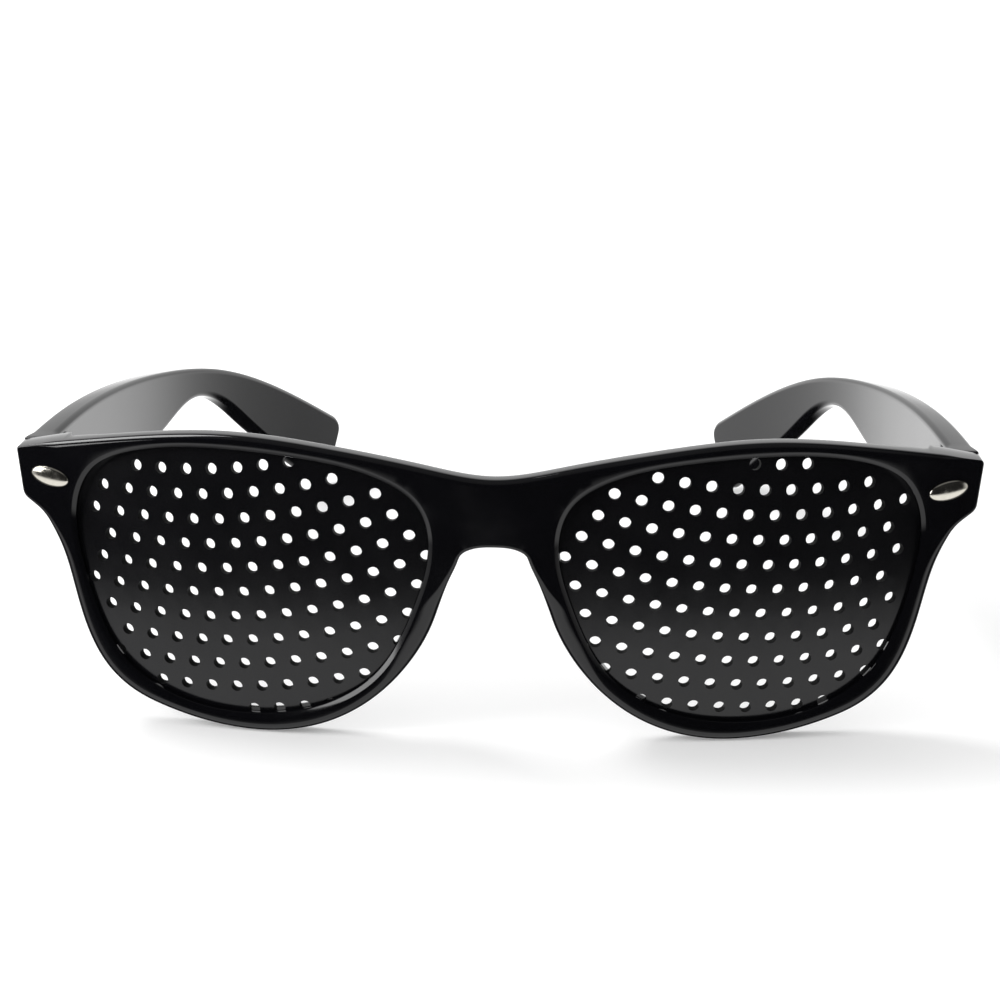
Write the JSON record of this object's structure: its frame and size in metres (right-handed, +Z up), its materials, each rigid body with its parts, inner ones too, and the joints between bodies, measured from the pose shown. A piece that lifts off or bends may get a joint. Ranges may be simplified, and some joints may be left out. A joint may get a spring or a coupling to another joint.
{
  "type": "pinhole glasses",
  "caption": "Black moulded pinhole glasses: two bulged plates full of small staggered holes in one bowed front, oval metal studs and folding temples on barrel hinges.",
  "frame": {"origin": "centre of the bottom of the bounding box, on the plane that the rims and temple tips rest on", "axes": "+X to the viewer's right across the front (the left and right in node names are the viewer's), -Y out of the front face, +Y along the open temples, +Z up"},
  "size_m": [0.145, 0.15, 0.0461],
  "materials": {
    "gloss_black_frame": "polished injection moulding",
    "black_plate": "moulded gloss, slightly duller than the frame",
    "polished_stud": "polished plating",
    "hinge_metal": "tumbled nickel silver",
    "screw_steel": "turned steel"
  },
  "bodies": {
    "front": {"front_frame": "gloss_black_frame", "lens_right": "black_plate", "lens_left": "black_plate", "stud_right": "polished_stud", "stud_left": "polished_stud", "front_leaf_right": "hinge_metal", "front_leaf_left": "hinge_metal", "hinge_screw_right": "screw_steel", "hinge_screw_left": "screw_steel"},
    "right_temple": {"temple_right": "gloss_black_frame", "temple_leaf_right": "hinge_metal", "temple_leaf_screws_right": "screw_steel"},
    "left_temple": {"temple_left": "gloss_black_frame", "temple_leaf_left": "hinge_metal", "temple_leaf_screws_left": "screw_steel"}
  },
  "joints": [
    {"name": "fold_right", "type": "hinge", "parent": "front", "child": "right_temple", "pos_m": [0.06672, -0.05904, 0.038], "axis": [0, 0, 1], "range_deg": [0, 78]},
    {"name": "fold_left", "type": "hinge", "parent": "front", "child": "left_temple", "pos_m": [-0.06672, -0.05904, 0.038], "axis": [0, 0, -1], "range_deg": [0, 70]}
  ]
}
